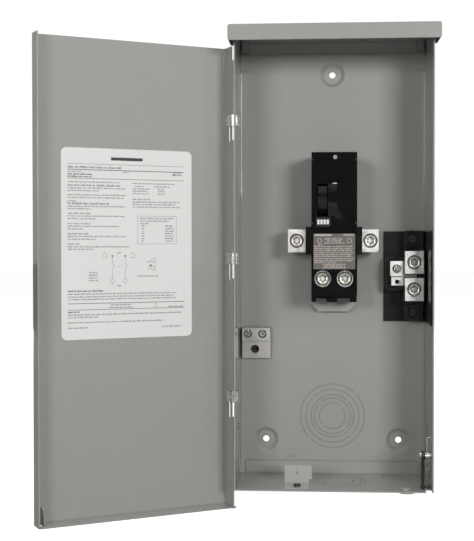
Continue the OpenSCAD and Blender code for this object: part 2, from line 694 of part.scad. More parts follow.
// Handle: drum on two trunnions with a ribbed paddle, drawn in its ON position
module breaker_handle() color([0.04, 0.04, 0.04]) {
    rod_x(handle_x, handle_d, handle_h, barrel_r);
    rod_x([-20.8, -3.6], handle_d, handle_h, trunnion_r);
    translate([0, out(handle_d), up(handle_h)]) rotate([-handle_lean, 0, 0]) mirror([0, 1, 0]) {
        translate([handle_x[0] + 0.4, 10, -3.6]) cube([handle_x[1] - handle_x[0] - 0.8, 19, 7.2]);
        for (i = [0 : 3]) translate([handle_x[0] + 0.4, 20.4 + 2.3 * i, -4.2])
            cube([handle_x[1] - handle_x[0] - 0.8, 1.1, 8.4]);
    }
}

module crossbar() color([0.35, 0.2, 0.12]) difference() {
    union() {
        rod_x([bx[0] + 1.4, bx[1] - 1.4], crossbar_d, crossbar_h, 4);
        for (x = pole_x) slab([x - 6.5, x + 6.5], [crossbar_d - 3.5, crossbar_d + 5], [316, 328]);
    }
    for (x = pole_x) slab([x - 4, x + 4], [20.5, 23.5], [300, 330]);
}

// Moving contact arm of each pole with its silver tip
module contact_arms() color([0.72, 0.45, 0.3]) for (x = pole_x) {
    slab([x - 4, x + 4], [20.5, 23.5], [288, 328]);
    slab([x - 3, x + 3], [19, 20.6], [289.5, 295]);
}

// Arc chute of each pole: slotted steel plates between two side cards
module arc_chutes() color([0.45, 0.45, 0.45]) for (x = pole_x) {
    for (i = [0 : 4]) difference() {
        slab([x - 9, x + 9], [19, 42], [264 + 4.6 * i, 265.2 + 4.6 * i]);
        slab([x - 2.5, x + 2.5], [18, 32], [260, 290]);
    }
    for (side = [-1, 1]) slab([x + side * 9.3 - 0.4, x + side * 9.3 + 0.4], [19, 42], [263, 285]);
}

module line_straps() color([0.8, 0.78, 0.72]) {
    slab([-48, pole_x[0] + 4], line_strap_d, line_strap_h);
    slab([pole_x[1] - 4, 49], line_strap_d, line_strap_h);
    for (x = pole_x) slab([x - 3, x + 3], [17.3, 19], [289.5, 292.9]);
}

left_lug_x = [-51.8, -31.4];
right_lug_x = [33.75, 52.65];
line_lug_d = [17.4, 43.5];
line_lug_h = [267, 293.6];

module line_lug_left() box_lug(left_lug_x, line_lug_d, line_lug_h);
module line_lug_right() box_lug(right_lug_x, line_lug_d, line_lug_h);
module line_screw_left() box_lug_screw(left_lug_x, line_lug_d, line_lug_h);
module line_screw_right() box_lug_screw(right_lug_x, line_lug_d, line_lug_h);

module load_straps() color([0.8, 0.78, 0.72]) for (x = pole_x) {
    slab([x - 7, x + 7], [30.9, 33.9], [226, 256]);
    slab([x - 7, x + 7], [33.5, 50], [253, 256]);
}

module bimetal_strips() color([0.6, 0.5, 0.35]) for (x = pole_x) {
    slab([x - 4, x + 4], [48.6, 50], [256, 300]);
}

// Load lug of each pole: a block round the wire hole with a round neck at the front
module load_lugs() color([0.84, 0.84, 0.82]) for (x = pole_x) difference() {
    union() {
        slab([x - 9.7, x + 9.7], [33.9, 58], [load_h - 13, load_h + 13]);
        rod_d(x, [57, 70.5], load_h, 9.4);
    }
    rod_h(x, load_wire_d, [load_h - 15, load_h + 15], wire_r);
    rod_d(x, [load_wire_d, 72], load_h, clamp_r + run_gap);
    rod_d(x, [70.5 - mouth_depth, 72], load_h, clamp_r + mouth_gap);
}

module load_screw_left() socket_screw(pole_x[0], [51.7, 68.5], load_h);
module load_screw_right() socket_screw(pole_x[1], [51.7, 68.5], load_h);

enclosure_shell();
bottom_end_wall();
rain_hood();
hub_cover_plate();
hub_cover_screws();
front_bracket();
front_bracket_screw();
latch_stud();
latch_spring();
latch_lever();
hinge_leaves();
hinge_pins();
hinge_straps();
door_panel();
door_label();
ground_lug();
ground_mount_screw();
ground_screw_left();
ground_screw_right();
neutral_insulator();
neutral_base();
neutral_base_screws();
neutral_bar();
neutral_lug_upper();
neutral_lug_lower();
neutral_small_lug();
neutral_screw_upper();
neutral_screw_lower();
neutral_small_screw();
breaker_bracket();
breaker_screws();
breaker_base();
breaker_cover();
cover_screws();
terminal_shield();
shield_screw();
shield_clip();
rating_plate();
info_label();
breaker_handle();
crossbar();
contact_arms();
arc_chutes();
line_straps();
line_lug_left();
line_lug_right();
line_screw_left();
line_screw_right();
load_straps();
bimetal_strips();
load_lugs();
load_screw_left();
load_screw_right();
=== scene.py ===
import json
import math
import random

import bmesh
import bpy
from mathutils import Matrix, Vector

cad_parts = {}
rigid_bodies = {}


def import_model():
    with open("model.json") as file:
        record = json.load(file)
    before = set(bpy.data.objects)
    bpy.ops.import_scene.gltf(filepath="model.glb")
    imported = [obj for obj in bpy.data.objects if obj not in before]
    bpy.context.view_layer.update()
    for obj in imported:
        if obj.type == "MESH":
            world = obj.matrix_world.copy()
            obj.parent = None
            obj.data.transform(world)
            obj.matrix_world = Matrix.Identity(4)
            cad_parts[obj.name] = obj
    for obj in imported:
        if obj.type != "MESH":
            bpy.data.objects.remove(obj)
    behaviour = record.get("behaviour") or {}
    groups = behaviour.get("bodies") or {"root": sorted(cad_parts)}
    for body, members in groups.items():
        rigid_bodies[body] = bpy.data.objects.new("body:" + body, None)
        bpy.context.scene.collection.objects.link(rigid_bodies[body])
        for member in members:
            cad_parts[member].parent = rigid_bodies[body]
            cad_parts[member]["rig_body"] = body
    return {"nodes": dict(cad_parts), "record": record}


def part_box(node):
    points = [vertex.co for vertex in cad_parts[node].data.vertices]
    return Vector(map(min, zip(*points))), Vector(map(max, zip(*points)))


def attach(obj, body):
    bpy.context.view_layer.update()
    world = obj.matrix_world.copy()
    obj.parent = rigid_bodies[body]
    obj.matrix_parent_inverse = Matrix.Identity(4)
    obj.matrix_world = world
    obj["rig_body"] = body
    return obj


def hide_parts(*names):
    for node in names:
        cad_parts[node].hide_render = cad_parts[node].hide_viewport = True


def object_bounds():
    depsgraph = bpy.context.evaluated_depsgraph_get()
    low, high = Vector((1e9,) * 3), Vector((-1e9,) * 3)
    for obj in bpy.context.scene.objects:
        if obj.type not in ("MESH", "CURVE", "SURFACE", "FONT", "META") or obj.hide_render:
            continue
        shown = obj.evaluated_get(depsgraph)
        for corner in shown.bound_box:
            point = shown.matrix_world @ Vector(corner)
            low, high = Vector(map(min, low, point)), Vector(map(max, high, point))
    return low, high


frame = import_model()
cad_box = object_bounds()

MM = 0.001
MICRON = 0.001 * MM
NODES = frame["nodes"]
BODY_OF = {n: o["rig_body"] for n, o in NODES.items()}
SLOT_OF = {p["node"]: p["material_slot"] for p in frame["record"]["subparts"]}


# ------------------------------------------------------------------ materials

EVEN = (1, 1, 1)
NOISE_RANGE = (0.3, 0.7)    # where nearly all of a noise texture's values lie


class Finish:
    """A node material built up layer by layer in object space, so it needs no UVs."""

    def __init__(self, name, colour, rough, metal=0.0, spec=0.5):
        self.mat = bpy.data.materials.new(name)
        self.mat.use_nodes = True
        self.tree = self.mat.node_tree
        self.shader = self.tree.nodes["Principled BSDF"]
        self.shader.inputs["Metallic"].default_value = metal
        self.shader.inputs["Specular IOR Level"].default_value = spec
        self.coord = self.tree.nodes.new("ShaderNodeTexCoord").outputs["Object"]
        self.colour = self.rgb(colour)
        self.rough = self.value(rough)
        self.normal = None

    def rgb(self, colour):
        node = self.tree.nodes.new("ShaderNodeRGB")
        node.outputs[0].default_value = (*colour, 1.0)
        return node.outputs[0]

    def value(self, number):
        node = self.tree.nodes.new("ShaderNodeValue")
        node.outputs[0].default_value = number
        return node.outputs[0]

    def noise(self, scale, detail, rough, stretch=EVEN):
        """Cloudy noise with scale blobs to the metre, drawn out along an axis by stretch."""
        mapping = self.tree.nodes.new("ShaderNodeMapping")
        mapping.inputs["Scale"].default_value = stretch
        self.tree.links.new(self.coord, mapping.inputs["Vector"])
        node = self.tree.nodes.new("ShaderNodeTexNoise")
        node.inputs["Scale"].default_value = scale
        node.inputs["Detail"].default_value = detail
        node.inputs["Roughness"].default_value = rough
        self.tree.links.new(mapping.outputs[0], node.inputs["Vector"])
        return node.outputs["Fac"]

    def span(self, fac, lo, hi, a=0.0, b=1.0):
        """Maps fac from the range lo to hi onto a to b."""
        node = self.tree.nodes.new("ShaderNodeMapRange")
        node.inputs["From Min"].default_value = lo
        node.inputs["From Max"].default_value = hi
        node.inputs["To Min"].default_value = a
        node.inputs["To Max"].default_value = b
        self.tree.links.new(fac, node.inputs["Value"])
        return node.outputs[0]

    def math(self, op, a, b):
        """Joins two numbers or sockets by an operation."""
        node = self.tree.nodes.new("ShaderNodeMath")
        node.operation = op
        for socket, v in zip(node.inputs, (a, b)):
            if isinstance(v, (int, float)):
                socket.default_value = v
            else:
                self.tree.links.new(v, socket)
        return node.outputs[0]

    def shade(self, factor):
        """Multiplies the colour by a factor."""
        node = self.tree.nodes.new("ShaderNodeVectorMath")
        node.operation = "SCALE"
        self.tree.links.new(self.colour, node.inputs[0])
        self.tree.links.new(factor, node.inputs["Scale"])
        self.colour = node.outputs[0]
        return self

    def tint(self, fac, colour):
        """Lays colour over what is there, as far as fac says."""
        node = self.tree.nodes.new("ShaderNodeMix")
        node.data_type = "RGBA"
        self.tree.links.new(fac, node.inputs[0])
        self.tree.links.new(self.colour, node.inputs[6])
        node.inputs[7].default_value = (*colour, 1.0)
        self.colour = node.outputs[2]
        return self

    def mottle(self, scale, amount, detail=3.0, stretch=EVEN):
        """Makes the colour lighter and darker by about amount."""
        noise = self.noise(scale, detail, 0.55, stretch)
        return self.shade(self.span(noise, *NOISE_RANGE, 1 - amount, 1 + amount))

    def polish(self, scale, amount, stretch=EVEN):
        """Varies the roughness by about amount."""
        noise = self.noise(scale, 4.0, 0.6, stretch)
        self.rough = self.math("ADD", self.rough, self.span(noise, *NOISE_RANGE, -amount, amount))
        return self

    def peel(self, scale, depth, stretch=EVEN):
        """Raises and lowers the surface by depth, on top of any relief there is."""
        node = self.tree.nodes.new("ShaderNodeBump")
        node.inputs["Strength"].default_value = 1.0
        node.inputs["Distance"].default_value = depth
        self.tree.links.new(self.noise(scale, 2.0, 0.5, stretch), node.inputs["Height"])
        if self.normal is not None:
            self.tree.links.new(self.normal, node.inputs["Normal"])
        self.normal = node.outputs[0]
        return self

    def rub_and_highlight_edges(self, radius, colour, rough_step, strength):
        """Lightens and roughens the surface along its edges, where the rounded normal leaves the true
        one: partly rubbed wear, partly a painted highlight on the edges.
        """
        bevel = self.tree.nodes.new("ShaderNodeBevel")
        bevel.samples = 4
        bevel.inputs["Radius"].default_value = radius
        geo = self.tree.nodes.new("ShaderNodeNewGeometry")
        dot = self.tree.nodes.new("ShaderNodeVectorMath")
        dot.operation = "DOT_PRODUCT"
        self.tree.links.new(bevel.outputs[0], dot.inputs[0])
        self.tree.links.new(geo.outputs["Normal"], dot.inputs[1])
        mask = self.span(dot.outputs["Value"], 0.99, 0.82)
        patches = self.span(self.noise(240, 4.0, 0.55), 0.35, 0.65, 0.2, strength)
        # the lighter edge colour is part rubbed wear and part painted highlight
        edge_wear_and_highlight = self.math("MULTIPLY", mask, patches)
        self.tint(edge_wear_and_highlight, colour)
        self.rough = self.math("ADD", self.rough, self.math("MULTIPLY", edge_wear_and_highlight, rough_step))
        return self

    def painted_crevice_shade(self, reach, darkest):
        """Paints shade into the colour: darkens grooves and inside corners narrower than reach, where
        shade falls.
        """
        node = self.tree.nodes.new("ShaderNodeAmbientOcclusion")
        node.samples = 6
        node.inputs["Distance"].default_value = reach
        return self.shade(self.span(node.outputs["AO"], 0.35, 0.92, darkest, 1.0))

    def coat(self, weight, rough):
        """Lays a clear glossy skin over everything."""
        self.shader.inputs["Coat Weight"].default_value = weight
        self.shader.inputs["Coat Roughness"].default_value = rough
        return self

    def done(self):
        """Wires colour, roughness and relief into the shader."""
        self.tree.links.new(self.colour, self.shader.inputs["Base Color"])
        self.tree.links.new(self.rough, self.shader.inputs["Roughness"])
        if self.normal is not None:
            self.tree.links.new(self.normal, self.shader.inputs["Normal"])
        return self.mat


PAINT_GREY = (0.335, 0.345, 0.318)
STEEL_GRAIN = (1, 1, 0.15)         # drawn out along z
ALUMINIUM_GRAIN = (1, 1, 0.06)
NEAR_BLACK = (0.006, 0.006, 0.006)


def paint(name, colour, rough=0.42):
    """Baked enamel: a dull coat under a glossy skin that mirrors at grazing angles."""
    f = Finish(name, colour, rough)
    f.mottle(4, 0.012).mottle(60, 0.008).mottle(1400, 0.02, 1.0)
    f.polish(18, 0.02).peel(420, 20 * MICRON).peel(1500, 8 * MICRON)
    # painted shade: grooves and inside corners of the enamel are darkened to 0.6 of its colour
    f.coat(0.9, 0.035).painted_crevice_shade(3.5 * MM, 0.6)
    return f.done()


def metal(name, colour, rough, grain=EVEN):
    """Bare or plated metal, with its scratches drawn out along the grain."""
    f = Finish(name, colour, rough, metal=1.0)
    f.mottle(60, 0.05).mottle(900, 0.05, 2.0, grain)
    f.polish(140, 0.08).polish(1100, 0.05, grain).peel(1500, 10 * MICRON, grain)
    # painted shade: grooves and inside corners of the metal are darkened to 0.3 of its colour
    return f.painted_crevice_shade(1.8 * MM, 0.3).done()


def moulding(name, colour, rough, fine=10 * MICRON, scuff=0.02, spec=0.5):
    """Moulded plastic: fine grain of the mould, scuffs, and edges lighter, partly rubbed wear and
    partly painted highlight.
    """
    f = Finish(name, colour, rough, spec=spec)
    f.mottle(40, 0.12).mottle(900, 0.15, 1.0)
    f.polish(60, scuff).polish(900, scuff).peel(1800, fine).peel(90, fine * 2)
    # painted highlight mixed with rubbed wear along the edges: the edge colour is 2.2 times the body
    # colour
    f.rub_and_highlight_edges(0.5 * MM, tuple(c * 2.2 + 0.01 for c in colour), 0.02, 0.7)
    return f.done()


def paper(name, colour, rough=0.55):
    """Label stock with a faint weave."""
    f = Finish(name, colour, rough)
    f.mottle(12, 0.012).mottle(1600, 0.012, 2.0)
    f.polish(80, 0.06).peel(700, 12 * MICRON).peel(2200, 6 * MICRON)
    return f.done()


def ink(name, colour):
    """Printing ink, a little uneven."""
    f = Finish(name, colour, 0.5)
    f.mottle(2200, 0.12, 2.0).polish(700, 0.08).peel(2500, 3 * MICRON)
    return f.done()


MATS = {
    "painted_steel": paint("painted_steel", PAINT_GREY),
    "bracket_paint": paint("bracket_paint", (0.40, 0.41, 0.385), 0.4),
    "zinc_steel": metal("zinc_steel", (0.80, 0.80, 0.78), 0.26, STEEL_GRAIN),
    "dark_steel": metal("dark_steel", (0.06, 0.055, 0.05), 0.38),
    "clamp_screw": metal("clamp_screw", (0.70, 0.675, 0.62), 0.33),
    "tin_plated_aluminium": metal("tin_plated_aluminium", (0.66, 0.65, 0.62), 0.36,
                                  ALUMINIUM_GRAIN),
    "die_cast": metal("die_cast", (0.47, 0.455, 0.43), 0.42),
    "label_paper": paper("label_paper", (0.82, 0.815, 0.80)),
    "insulating_sheet": moulding("insulating_sheet", (0.006, 0.0055, 0.0055), 0.36,
                                 20 * MICRON, 0.05, 0.22),
    "black_moulding": moulding("black_moulding", (0.006, 0.006, 0.0062), 0.22),
    "glossy_moulding": moulding("glossy_moulding", (0.006, 0.006, 0.0068), 0.12, 6 * MICRON, 0.03),
    "rating_print": moulding("rating_print", NEAR_BLACK, 0.3),
    "info_print": paper("info_print", (0.135, 0.115, 0.10), 0.42),
    "phenolic": moulding("phenolic", (0.16, 0.07, 0.03), 0.35),
    "copper": metal("copper", (0.72, 0.40, 0.26), 0.33),
}
INK_DARK = ink("ink_dark", (0.035, 0.035, 0.037))
INK_GREY = ink("ink_grey", (0.13, 0.13, 0.135))
INK_PALE = ink("ink_pale", (0.50, 0.46, 0.43))
INK_WHITE = ink("ink_white", (0.85, 0.85, 0.85))


# ------------------------------------------------------------------ CAD nodes

# Width of the rounded edges in mm, by material slot
EDGE_MM = {"painted_steel": 0.45, "bracket_paint": 0.3, "zinc_steel": 0.18, "dark_steel": 0.2,
           "tin_plated_aluminium": 0.5, "insulating_sheet": 0.25, "black_moulding": 0.55,
           "glossy_moulding": 0.45, "clamp_screw": 0.3}
OTHER_EDGE_MM = 0.2
NO_BEVEL = {"door_label", "info_label", "rating_plate", "latch_spring"}
# Nodes that look different from the rest of their material slot
LOOK_OF = {"ground_lug": "die_cast"}

WELD_GAP = 2 * MICRON
FLAT_WITHIN = math.radians(1)       # facets that make one flat face
SMOOTH_WITHIN = math.radians(32)    # edges flatter than this are shaded smooth
ROUND_FROM = math.radians(40)       # edges sharper than this are rounded


def edge_angle_group(limit):
    """Node group that shades a mesh smooth and keeps only the edges above an angle sharp."""
    group = bpy.data.node_groups.new("edge_angles", "GeometryNodeTree")
    for side in ("INPUT", "OUTPUT"):
        group.interface.new_socket("Geometry", in_out=side, socket_type="NodeSocketGeometry")
    angle = group.nodes.new("GeometryNodeInputMeshEdgeAngle")
    test = group.nodes.new("FunctionNodeCompare")
    test.data_type, test.operation = "FLOAT", "GREATER_THAN"
    test.inputs[1].default_value = limit
    shade = group.nodes.new("GeometryNodeSetMeshNormal")
    shade.mode = "SHARPNESS"
    group.links.new(group.nodes.new("NodeGroupInput").outputs[0], shade.inputs["Mesh"])
    group.links.new(angle.outputs["Unsigned Angle"], test.inputs[0])
    group.links.new(test.outputs[0], shade.inputs["Edge Sharpness"])
    group.links.new(shade.outputs[0], group.nodes.new("NodeGroupOutput").inputs[0])
    return group


EDGE_ANGLES = edge_angle_group(SMOOTH_WITHIN)


def finish_cad_nodes():
    """Gives each CAD node its material and, unless it is a sheet of print, rounded edges."""
    for name, o in NODES.items():
        slot = SLOT_OF[name]
        o.data.materials.clear()
        o.data.materials.append(MATS[LOOK_OF.get(name, slot)])
        if name in NO_BEVEL:
            continue
        weld = o.modifiers.new("weld", "WELD")
        weld.merge_threshold = WELD_GAP
        flat = o.modifiers.new("flat", "DECIMATE")
        flat.decimate_type = "DISSOLVE"
        flat.angle_limit = FLAT_WITHIN
        o.modifiers.new("edges", "NODES").node_group = EDGE_ANGLES
        bevel = o.modifiers.new("bevel", "BEVEL")
        bevel.width = EDGE_MM.get(slot, OTHER_EDGE_MM) * MM
        bevel.segments = 2
        bevel.limit_method = "ANGLE"
        bevel.angle_limit = ROUND_FROM
        bevel.harden_normals = True
        bevel.use_clamp_overlap = True


finish_cad_nodes()


# ------------------------------------------------------------------ mesh helpers

def new_piece(name, verts, faces, material, body, slot, smooth=None):
    """A mesh that rides on a body; smooth is the angle in degrees above which edges stay sharp."""
    mesh = bpy.data.meshes.new(name)
    mesh.from_pydata([tuple(v) for v in verts], [], faces)
    mesh.validate()
    o = bpy.data.objects.new(name, mesh)
    bpy.context.scene.collection.objects.link(o)
    mesh.materials.append(material)
    bm = bmesh.new()
    bm.from_mesh(mesh)
    bmesh.ops.recalc_face_normals(bm, faces=bm.faces)
    bm.to_mesh(mesh)
    bm.free()
    if smooth is not None:
        for p in mesh.polygons:
            p.use_smooth = True
        mesh.set_sharp_from_angle(angle=math.radians(smooth))
    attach(o, body)
    return o


class Face:
    """A flat face of a CAD node as a page: s runs right and t down, in mm from the top left."""

    def __init__(self, node, normal, right):
        self.normal = Vector(normal).normalized()
        self.right = Vector(right).normalized()
        co = [v.co for v in NODES[node].data.vertices]
        self.top = max(c.z for c in co)
        self.left = min(c.dot(self.right) for c in co)
        self.width = (max(c.dot(self.right) for c in co) - self.left) / MM
        self.height = (self.top - min(c.z for c in co)) / MM
        self.level = max(c.dot(self.normal) for c in co)

    def at(self, s, t, lift):
        flat = self.right * (self.left + s * MM) + self.normal * (self.level + lift * MM)
        return Vector((flat.x, flat.y, self.top - t * MM))


class Print:
    """Thin raised shapes of ink on a page. Sizes are in mm."""

    SUNK = -0.01
    PROUD = 0.025

    def __init__(self, page, seed):
        self.page, self.verts, self.faces = page, [], []
        self.rng = random.Random(seed)

    def prism(self, outline):
        n, base = len(outline), len(self.verts)
        self.verts += [self.page.at(s, t, self.SUNK) for s, t in outline]
        self.verts += [self.page.at(s, t, self.PROUD) for s, t in outline]
        self.faces.append(tuple(range(base, base + n)))
        self.faces.append(tuple(range(base + 2 * n - 1, base + n - 1, -1)))
        for i in range(n):
            j = (i + 1) % n
            self.faces.append((base + i, base + n + i, base + n + j, base + j))

    def bar(self, s, t, w, h):
        """A bar from its left end, centred on the height t."""
        self.prism([(s, t - h / 2), (s + w, t - h / 2), (s + w, t + h / 2), (s, t + h / 2)])

    def stroke(self, a, b, w):
        """A straight line from a to b."""
        d = Vector((b[0] - a[0], b[1] - a[1])).normalized() * (w / 2)
        q = Vector((-d.y, d.x))
        self.prism([(a[0] + q.x, a[1] + q.y), (b[0] + q.x, b[1] + q.y),
                    (b[0] - q.x, b[1] - q.y), (a[0] - q.x, a[1] - q.y)])

    def disc(self, s, t, r, n=20):
        self.prism([(s + r * math.cos(2 * math.pi * i / n), t + r * math.sin(2 * math.pi * i / n))
                    for i in range(n)])

    def path(self, pts, w):
        for a, b in zip(pts, pts[1:]):
            self.stroke(a, b, w)

    def loop(self, s, t, r, w, n=20, start=0.0, turn=1.0):
        """A ring of strokes, or an arc when turn is under 1."""
        angles = [2 * math.pi * (start + turn * i / n) for i in range(n + 1)]
        self.path([(s + r * math.cos(a), t + r * math.sin(a)) for a in angles], w)

    def words(self, s, t, width, x_height=1.1, bold=False):
        """A line of dummy text: word-like runs of little blocks, no letters."""
        end, x = s + width, s
        w_letter = x_height * (0.62 if bold else 0.52)
        gap = x_height * (0.2 if bold else 0.3)
        while x < end - w_letter:
            for _ in range(self.rng.choice((2, 3, 4, 5, 5, 6, 7, 8))):
                if x > end - w_letter:
                    break
                w = w_letter * self.rng.uniform(0.7, 1.15)
                tall = self.rng.random() < 0.28
                h = x_height * (1.4 if tall else 1.0)
                self.bar(x, t + (x_height - h) / 2 * (1 if tall else 0), w, h)
                x += w + gap
            x += x_height * 0.75

    def piece(self, name, material, body, slot):
        return new_piece(name, self.verts, self.faces, material, body, slot)


# ------------------------------------------------------------------ door label

DOOR_OPEN = math.radians(150)
DOOR_RIGHT = (-math.cos(DOOR_OPEN), math.sin(DOOR_OPEN), 0)    # towards the hinge
DOOR_NORMAL = (math.sin(DOOR_OPEN), math.cos(DOOR_OPEN), 0)    # out of the inner face
HAIRLINE = 0.3
LEFT_MARGIN, RIGHT_MARGIN = 7.4, 9.7
POLES = (58.2, 73.3)     # the two poles of the wiring sketch, from the left


def label_rules(page):
    """Title bar, the rules across the page, headings and the solid marks of the sketches."""
    p = Print(page, 3)
    p.bar(57, 11.2, 37, 3.4)
    for t, w in ((17.5, 0.35), (23.8, 0.7), (33.3, 0.45), (169.2, 0.6), (176.0, 0.5)):
        p.bar(LEFT_MARGIN, t, page.width - RIGHT_MARGIN - LEFT_MARGIN, w)
    for t, width, x_height in ((28.9, 28, 1.2), (31.4, 28, 1.2), (155.8, 42, 1.3), (178.5, 13, 1.3)):
        p.words(LEFT_MARGIN, t, width, x_height, True)
    p.words(130, 27.2, 11, 1.3, True)
    for s in POLES:
        p.disc(s, 117.6, 1.0)
    p.prism([(101.6, 129.6), (103.2, 126.6), (104.6, 128.8)])
    p.piece("door_label_rules", INK_DARK, "door", "label_paper")


def left_column(p):
    """Paragraphs, each a heading and a line or two. A line is its height, width and x-height."""
    paragraphs = (
        ((37.2, 60, 1.1), (40.9, 62, 1.6), (43.8, 66.4, 1.1), (46.6, 36, 1.1)),
        ((51.2, 66.4, 1.1), (54.1, 65, 1.1)),
        ((58.0, 10.5, 1.1), (60.7, 48, 1.7), (63.6, 66.4, 1.1), (66.3, 27, 1.1)),
        ((71.4, 26, 1.2), (74.2, 66.4, 1.1), (77.1, 31.5, 1.1)),
        ((82.5, 26.4, 1.2), (85.3, 59, 1.1), (88.2, 18.4, 1.1)),
        ((93.6, 23.5, 1.2), (96.4, 67, 1.1), (99.3, 32.3, 1.1)),
        ((104.6, 13.3, 1.2), (107.6, 71, 1.1), (110.3, 30, 1.1)))
    for lines in paragraphs:
        for t, width, x_height in lines:
            p.words(LEFT_MARGIN, t, width, x_height)


def right_column(p):
    """Short lines in two columns, then a paragraph. A line is its height, indent and width."""
    left = 82.1
    for t, indent, width in (
            (37.5, 0, 50.6), (40.6, 2.3, 10.6), (40.7, 25.9, 19.3), (43.4, 0, 20.5),
            (43.4, 30.5, 8.5), (46, 0, 18), (46, 30.5, 8.5), (48.7, 0, 19.5),
            (48.7, 30.5, 8.5), (55, 0, 21.2), (58, 0, 56.8), (60.7, 0, 50.6), (63.5, 0, 57.6)):
        p.words(left + indent, t, width, 1.1)


def torque_table(p):
    """A frame with three lines of heading and seven rows of two columns."""
    left, right, top, bottom = 88.1, 134.5, 73.5, 104.2
    p.path([(left, top), (right, top), (right, bottom), (left, bottom), (left, top)], HAIRLINE)
    for t, width in ((76.2, 41), (79, 35), (81.9, 10.6)):
        p.words(91.1, t, width, 1.1)
    for i in range(7):
        t = 84.6 + 2.76 * i
        p.words(92.6, t, 3.6, 1.1)
        p.words(121, t, 10.6, 1.2)


def wiring_sketch(p):
    """Two poles joined by a tie, each with a switch arc and a lug, and an arrow on each side."""
    for s in POLES:
        p.path([(s, 118), (s, 126.4)], HAIRLINE)
        p.loop(s, 129.1, 2.2, HAIRLINE, 10, -0.25, 0.5)
        p.path([(s, 131.6), (s, 142.4)], HAIRLINE)
        p.loop(s, 144.9, 2.5, HAIRLINE)
        p.path([(s, 147.4), (s, 149.4)], HAIRLINE)
    for k in range(5):
        p.bar(62 + 1.9 * k, 129.1, 1.1, HAIRLINE)
    for s in (49.1, 81.9):
        p.path([(s - 2.5, 119.6), (s - 2.5, 116.2), (s, 113.6), (s + 2.5, 116.2),
                (s + 2.5, 119.6), (s - 2.5, 119.6)], HAIRLINE)
    p.words(63.8, 114.4, 4.6, 1.1)
    p.words(63.8, 150.6, 5.4, 1.1)
    for i in range(4):
        p.words(31, 135.7 + 2.9 * i, 10.6, 1.1)


def handle_sketch(p):
    """The handle's two positions and the line of its travel."""
    for t in (122.5, 131):
        p.loop(106.4, t, 2.1, 0.35, 12)
    p.words(99, 124.4, 4.6, 1.0)
    p.path([(99.6, 133.6), (104.4, 127)], 0.4)
    p.path([(108.6, 118.8), (108.6, 134.8)], 0.25)
    p.words(86.6, 140.1, 25.8, 1.1)


def page_foot(p):
    """Lines below the sketches, and one round mark. A line is its height, indent and width."""
    for t, indent, width in (
            (159, 0, 128), (162, 0, 123.6), (164.8, 0, 126.5), (171.4, 48.9, 24),
            (174.2, 46.7, 28.4), (174.6, 117.5, 17.8), (181.5, 0, 134.8), (184.2, 0, 34.3),
            (189.9, 0, 111.8), (195.7, 0, 22.5), (196.8, 109.5, 23.2)):
        p.words(LEFT_MARGIN + indent, t, width, 1.15)
    p.loop(109.5, 172.8, 2.0, HAIRLINE, 16)


def label_text(page):
    p = Print(page, 5)
    for s, t, width, x_height in ((LEFT_MARGIN, 21.3, 62, 1.7), (LEFT_MARGIN, 26.2, 17, 0.9),
                                  (71, 25.6, 7, 0.9), (131, 25.0, 9, 0.9)):
        p.words(s, t, width, x_height)
    left_column(p)
    right_column(p)
    torque_table(p)
    wiring_sketch(p)
    handle_sketch(p)
    page_foot(p)
    p.piece("door_label_text", INK_GREY, "door", "label_paper")


DOOR_PAGE = Face("door_label", DOOR_NORMAL, DOOR_RIGHT)
label_rules(DOOR_PAGE)
label_text(DOOR_PAGE)


# ------------------------------------------------------------------ print on the breaker

FRONT, RIGHT = (0, -1, 0), (1, 0, 0)


def print_info_label():
    """Grey-brown plate: a title bar, two round marks with lines between, and a block of text."""
    page = Face("info_label", FRONT, RIGHT)
    p = Print(page, 11)
    w = page.width
    p.bar(1.0, 1.6, 19.5, 1.9)
    p.bar(w - 13.5, 1.4, 12.0, 1.3)
    for s in (6.6, w - 6.6):
        p.loop(s, 7.9, 2.4, 0.7, 18)
    p.bar(5.2, 12.2, 4.6, 1.1)
    for t, s, width in ((6.0, 12.5, 20.5), (8.3, 15.2, 16), (10.6, 11.8, 23.5)):
        p.words(s, t, width, 1.15, True)
    for t in (14.6, 17.0, 19.2, 23.6, 25.8, 30.6):
        p.words(0.9, t, w - 3.2, 1.15, True)
    p.bar(0.8, 21.4, w - 1.6, 0.5)
    p.bar(0.8, 28.3, w - 1.6, 0.7)
    p.words(0.9, 32.6, 25, 1.1, True)
    for t, s, width in ((34.6, 10, 27), (36.7, 11.5, 24), (38.6, 10, 27)):
        p.words(s, t, width, 1.1, True)
    p.piece("info_label_text", INK_PALE, "enclosure", "info_print")


def print_rating():
    """Four plain blocks where the rating stands."""
    page = Face("rating_plate", FRONT, RIGHT)
    p = Print(page, 2)
    for i in range(4):
        p.bar(1.5 + 3.5 * i, page.height / 2, 2.6, 5.4)
    p.piece("rating_blocks", INK_WHITE, "enclosure", "rating_print")


print_info_label()
print_rating()


# ------------------------------------------------------------------ clamp screws

# Measures of a clamp screw; depths run back from its end face
STEPS = 96
ANGLES = [2 * math.pi * i / STEPS for i in range(STEPS)]
GROOVES = 2
GROOVE_DEPTH = 0.4 * MM
SOCKET_DEPTH = 5 * MM
SOCKET_RIDGE = 0.4 * MM
WALL_STEP = 2 * MM             # rows further apart than this are the socket's wall
TIP_CHAMFER = 0.4 * MM
THREAD_CLEAR = 0.02 * MM       # crests stay this far inside the CAD cylinder
THREAD_DEPTH = 0.3             # of the pitch
ROWS_PER_TURN = 12
SLOT_WIDTH, SLOT_DEPTH = 1.3 * MM, 1.4 * MM


def ring(radius, depth):
    """A row of (radius, depth) round the screw; radius is a number or a function of the angle."""
    return [(radius(a) if callable(radius) else radius, depth) for a in ANGLES]


def hexagon(corner):
    """The radius of a hexagon at any angle, from the radius of its corners."""
    def radius(a):
        from_flat = (a + math.pi / 6) % (math.pi / 3) - math.pi / 6
        return corner * math.cos(math.pi / 6) / math.cos(from_flat)
    return radius


